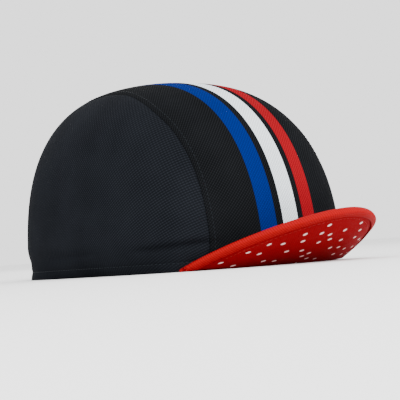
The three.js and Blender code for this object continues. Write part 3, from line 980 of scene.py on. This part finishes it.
def binding():
    """The tape's section, carried along the edge; its ribs are waves in its outer face.

    Near both ends it tapers a little and bends down to the rim.
    """
    across = across_peak(1100)
    width = np.minimum(BINDING_WIDTH, peak_width_at(across) - PEAK_GAP)
    reach = BINDING_THICKNESS + PEAK_GAP
    top = PEAK_THICKNESS
    nose = np.linspace(-math.pi / 2, math.pi / 2, 11)
    half = top / 2 + reach
    outer_nose = [(NOSE * half * (1 - math.cos(a)), top / 2 + half * math.sin(a)) for a in nose]
    section = [(None, -reach), *outer_nose, (None, top + reach)]
    section += [(None, top + PEAK_GAP), (BINDING_THICKNESS, top + PEAK_GAP)]
    section += [(BINDING_THICKNESS, -PEAK_GAP), (None, -PEAK_GAP)]
    outer_count = len(outer_nose) + 2
    edge = peak_point(across, 1.0)
    run = arc_lengths(edge[:, None], 0)[:, 0]
    rings = []
    for inward, height in section:
        inward = width if inward is None else np.full_like(width, inward)
        spots = place_inside(across, inward)
        rings.append(peak_point(*spots) + peak_slopes(*spots)[2] * height)
    rings = np.stack(rings, 1)
    girth = arc_lengths(rings, 1)
    wave = np.abs(np.sin(math.pi * (run[:, None] + RIB_SLANT * girth) / RIB_PITCH)) - 0.5
    core = rings[:, [0, outer_count - 1]].mean(1, keepdims=True)
    swell = unit(rings - core) * (RIB_HEIGHT * wave)[..., None]
    rings[:, 1:outer_count - 1] += swell[:, 1:outer_count - 1]
    for side, from_end in ((-1, run), (1, run[-1] - run)):
        foot = wall_point(side * BINDING_FOOT_ANGLE, 0.0)
        foot = foot + unit(foot) * BINDING_FOOT[0] + np.array([0, 0, BINDING_FOOT[1]])
        near = (np.clip(1 - from_end / BINDING_TURN, 0, 1) ** 2)[:, None, None]
        middle = rings.mean(1, keepdims=True)
        rings = middle + (rings - middle) * (1 - BINDING_TAPER * near)
        rings += (foot - rings[0 if side < 0 else -1].mean(0)) * near
    rings[..., 2] = np.maximum(rings[..., 2], 0.2 * MM)
    return rings, run


def tube_piece(name, rings, run):
    """A closed tube from a grid whose second direction goes round it."""
    stations, around = rings.shape[:2]
    index = np.arange(stations * around).reshape(stations, around)
    beside = np.roll(index, -1, 1)
    a, b = index[:-1].ravel(), index[1:].ravel()
    c, d = beside[1:].ravel(), beside[:-1].ravel()
    faces = list(zip(a, b, c, d))
    points = rings.reshape(-1, 3)
    turned = inside_out(points, faces)
    faces += [tuple(index[0]), tuple(index[-1][::-1])]
    if turned:
        faces = [f[::-1] for f in faces]
    girth = arc_lengths(rings, 1)
    tape_map = np.stack([np.broadcast_to(run[:, None], girth.shape), girth], -1).reshape(-1, 2)
    return plain_mesh(name, points + RIM_MIDDLE, faces, tape_map)


def tape_finish():
    finish = Finish("ribbed_tape")
    u, v, _ = finish.parts(finish.cloth_map())
    rib = ((u + v * RIB_SLANT) * (math.pi / RIB_PITCH)).sin().absolute()
    weave = (v * (2 * math.pi / (0.5 * MM))).sin() * 0.5 + 0.5
    fuzz = finish.noise(finish.place(), 1200.0)
    # Painted shade in the grooves between the ribs and in the weave, mixed with random fuzz of tone
    relief_shade_and_tone = rib * 0.7 + weave * 0.2 + fuzz * 0.2
    low, high = tuple(c * 0.6 for c in BINDING_RED), tuple(min(c * 1.15, 1) for c in BINDING_RED)
    finish.set(Base_Color=finish.mix(relief_shade_and_tone, low, high), Roughness=0.5)
    finish.set(Normal=finish.bump(weave * 0.5 + fuzz, 0.08 * MM), Specular_IOR_Level=0.08)
    return finish.set(IOR=1.2).material


tape = tube_piece("peak_binding_tape", *binding())
tape.data.materials.append(tape_finish())
place(tape, "peak_binding")

across = np.linspace(-0.86, 0.86, 600)
spots = place_inside(across, STITCH_LINE + 0 * across)
seam_line = peak_point(*spots)
upward = peak_slopes(*spots)[2]
peak_seams = [(seam_line, -upward), (seam_line + upward * PEAK_THICKNESS, upward)]
red_thread = thread_finish("red_thread", (0.26, 0.012, 0.012))
red_tree = stitch_tree("Red stitches", red_thread)
stitched("peak_stitches", peak_seams, red_tree, "peak_print", Thread=0.34 * MM)

# Floor, light and camera. The cap stands on a plain pale floor under soft studio light, seen
# from the photograph's side of it, from as low as the floor allows.

HALF_FLOOR = 6.0
WORLD_LIGHT = 1.9
floor_mesh = bpy.data.meshes.new("floor")
corners = [(x * HALF_FLOOR, y * HALF_FLOOR, 0) for x, y in ((-1, -1), (1, -1), (1, 1), (-1, 1))]
floor_mesh.from_pydata(corners, [], [(0, 1, 2, 3)])
floor = bpy.data.objects.new("floor", floor_mesh)
bpy.context.scene.collection.objects.link(floor)
floor_finish = Finish("pale_floor")
floor_finish.set(Base_Color=(0.88, 0.88, 0.88), Roughness=0.9)
floor_mesh.materials.append(floor_finish.material)

world = bpy.data.worlds.new("studio")
world.use_nodes = True
world.node_tree.nodes["Background"].inputs["Color"].default_value = (1, 1, 1, 1)
world.node_tree.nodes["Background"].inputs["Strength"].default_value = WORLD_LIGHT
bpy.context.scene.world = world


def soft_light(name, spot, target, size, power):
    lamp = bpy.data.lights.new(name, "AREA")
    lamp.shape = "DISK"
    lamp.size = size
    lamp.energy = power
    light = bpy.data.objects.new(name, lamp)
    light.location = spot
    aim = Vector(target) - Vector(spot)
    light.rotation_euler = aim.to_track_quat("-Z", "Y").to_euler()
    bpy.context.scene.collection.objects.link(light)


cap_middle = (0, 0, 0.05)
soft_light("key", (-0.7, -1.1, 0.9), cap_middle, 0.9, 24)
soft_light("fill", (0.9, -0.9, 0.5), cap_middle, 0.8, 8)
soft_light("back", (0.2, 1.1, 0.9), cap_middle, 0.8, 6)

AZIMUTH = math.radians(-41.14)
DISTANCE = 1.03
ROLL = math.radians(-4.1)
PIXELS_PER_METRE = 1632.0  # at the cap's distance, in a picture of PICTURE pixels
PICTURE = 400
CAMERA_HEIGHT = 0.012
FRAME_RIGHT = 0.0185
FRAME_UP = 0.042

rim = Vector(RIM_MIDDLE)
back = Vector((math.sin(AZIMUTH), -math.cos(AZIMUTH), 0))
lens_place = rim + back * DISTANCE
lens_place.z = CAMERA_HEIGHT
right = Vector((math.cos(AZIMUTH), math.sin(AZIMUTH), 0))
aim_point = rim + right * FRAME_RIGHT + Vector((0, 0, FRAME_UP))
camera_data = bpy.data.cameras.new("camera")
camera_data.sensor_width = 36
camera_data.lens = PIXELS_PER_METRE * DISTANCE / PICTURE * camera_data.sensor_width
camera_data.clip_start = 0.05
camera = bpy.data.objects.new("camera", camera_data)
look = (aim_point - lens_place).to_track_quat("-Z", "Y").to_matrix()
turn = look @ Matrix.Rotation(ROLL, 3, "Z")
camera.matrix_world = Matrix.Translation(lens_place) @ turn.to_4x4()
bpy.context.scene.collection.objects.link(camera)
bpy.context.scene.camera = camera
